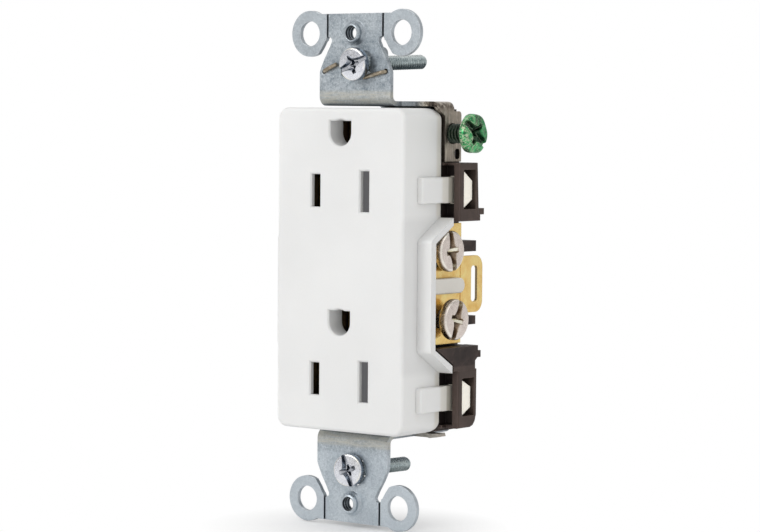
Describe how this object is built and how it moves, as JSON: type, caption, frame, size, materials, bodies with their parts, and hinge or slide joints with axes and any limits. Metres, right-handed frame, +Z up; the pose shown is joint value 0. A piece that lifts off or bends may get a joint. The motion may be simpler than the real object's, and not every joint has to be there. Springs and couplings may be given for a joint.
{
  "type": "duplex wall outlet",
  "caption": "Flush duplex wall outlet with a flat rectangular face, two three-pin sockets, side screw terminals and a steel mounting strap.",
  "frame": {"origin": "centre of the mounting strap, on the back plane of its ears", "axes": "+X right as seen from the room, +Y back into the wall box, +Z up"},
  "size_m": [0.0442, 0.0281, 0.1064],
  "materials": {
    "nylon_white": "satin",
    "base_brown": "moulded",
    "zinc_steel": "zinc plated",
    "brass": "bright",
    "nickel_steel": "nickel plated",
    "green_steel": "green finish",
    "brass_screw": "brass plated",
    "contact_brass": "bright"
  },
  "bodies": {
    "device": {"face_cover": "nylon_white", "base_body": "base_brown", "mounting_strap": "zinc_steel", "neutral_bus": "brass", "hot_bus": "brass", "neutral_contact_upper": "contact_brass", "neutral_contact_lower": "contact_brass", "hot_contact_upper": "contact_brass", "hot_contact_lower": "contact_brass", "ground_contact_upper": "contact_brass", "ground_contact_lower": "contact_brass", "ground_rivet_upper": "contact_brass", "ground_rivet_lower": "contact_brass", "ground_staple": "contact_brass"},
    "neutral_upper_pressure_plate": {"neutral_clamp_upper": "zinc_steel"},
    "neutral_upper_terminal_screw": {"neutral_screw_upper": "nickel_steel"},
    "neutral_lower_pressure_plate": {"neutral_clamp_lower": "zinc_steel"},
    "neutral_lower_terminal_screw": {"neutral_screw_lower": "nickel_steel"},
    "hot_upper_pressure_plate": {"hot_clamp_upper": "zinc_steel"},
    "hot_upper_terminal_screw": {"hot_screw_upper": "brass_screw"},
    "hot_lower_pressure_plate": {"hot_clamp_lower": "zinc_steel"},
    "hot_lower_terminal_screw": {"hot_screw_lower": "brass_screw"},
    "ground_screw": {"ground_screw": "green_steel"},
    "top_captive_washer": {"screw_retainer_top": "zinc_steel"},
    "top_mounting_screw": {"mounting_screw_top": "zinc_steel"},
    "bottom_captive_washer": {"screw_retainer_bottom": "zinc_steel"},
    "bottom_mounting_screw": {"mounting_screw_bottom": "zinc_steel"}
  },
  "joints": [
    {"name": "neutral_upper_screw_travel", "type": "slide", "parent": "device", "child": "neutral_upper_pressure_plate", "axis": [1, 0, 0], "range_m": [-0.0007, 0.0019]},
    {"name": "neutral_upper_screw_turn", "type": "hinge", "parent": "neutral_upper_pressure_plate", "child": "neutral_upper_terminal_screw", "pos_m": [0.01775, 0.0071, 0.00412], "axis": [1, 0, 0], "range_deg": [-317.5, 861.8]},
    {"name": "neutral_lower_screw_travel", "type": "slide", "parent": "device", "child": "neutral_lower_pressure_plate", "axis": [1, 0, 0], "range_m": [-0.002, 0.0006]},
    {"name": "neutral_lower_screw_turn", "type": "hinge", "parent": "neutral_lower_pressure_plate", "child": "neutral_lower_terminal_screw", "pos_m": [0.01775, 0.0071, -0.00978], "axis": [1, 0, 0], "range_deg": [-907.1, 272.2]},
    {"name": "hot_upper_screw_travel", "type": "slide", "parent": "device", "child": "hot_upper_pressure_plate", "axis": [-1, 0, 0], "range_m": [-0.0007, 0.0019]},
    {"name": "hot_upper_screw_turn", "type": "hinge", "parent": "hot_upper_pressure_plate", "child": "hot_upper_terminal_screw", "pos_m": [-0.01775, 0.0071, 0.00412], "axis": [-1, 0, 0], "range_deg": [-317.5, 861.8]},
    {"name": "hot_lower_screw_travel", "type": "slide", "parent": "device", "child": "hot_lower_pressure_plate", "axis": [-1, 0, 0], "range_m": [-0.002, 0.0006]},
    {"name": "hot_lower_screw_turn", "type": "hinge", "parent": "hot_lower_pressure_plate", "child": "hot_lower_terminal_screw", "pos_m": [-0.01775, 0.0071, -0.00978], "axis": [-1, 0, 0], "range_deg": [-907.1, 272.2]},
    {"name": "ground_screw_turn", "type": "hinge", "parent": "device", "child": "ground_screw", "pos_m": [0.0214, 0.00998, 0.02803], "axis": [1, 0, 0], "range_deg": [-1980, 360]},
    {"name": "top_mounting_screw_travel", "type": "slide", "parent": "device", "child": "top_captive_washer", "axis": [0, 0.9992, 0.0401], "range_m": [-0.0019, 0]},
    {"name": "top_mounting_screw_turn", "type": "hinge", "parent": "top_captive_washer", "child": "top_mounting_screw", "pos_m": [0.0013, -0.00215, 0.04205], "axis": [0, 0.9992, 0.0401], "continuous": true},
    {"name": "bottom_mounting_screw_travel", "type": "slide", "parent": "device", "child": "bottom_captive_washer", "axis": [-0.1217, 0.9914, -0.0488], "range_m": [-0.003, 0]},
    {"name": "bottom_mounting_screw_turn", "type": "hinge", "parent": "bottom_captive_washer", "child": "bottom_mounting_screw", "pos_m": [0, -0.0013, -0.04145], "axis": [-0.1217, 0.9914, -0.0488], "continuous": true}
  ],
  "couplings": [
    {"joint": "neutral_upper_screw_turn", "follows": "neutral_upper_screw_travel", "rad_per_m": 7915.8},
    {"joint": "neutral_lower_screw_turn", "follows": "neutral_lower_screw_travel", "rad_per_m": 7915.8},
    {"joint": "hot_upper_screw_turn", "follows": "hot_upper_screw_travel", "rad_per_m": 7915.8},
    {"joint": "hot_lower_screw_turn", "follows": "hot_lower_screw_travel", "rad_per_m": 7915.8}
  ]
}
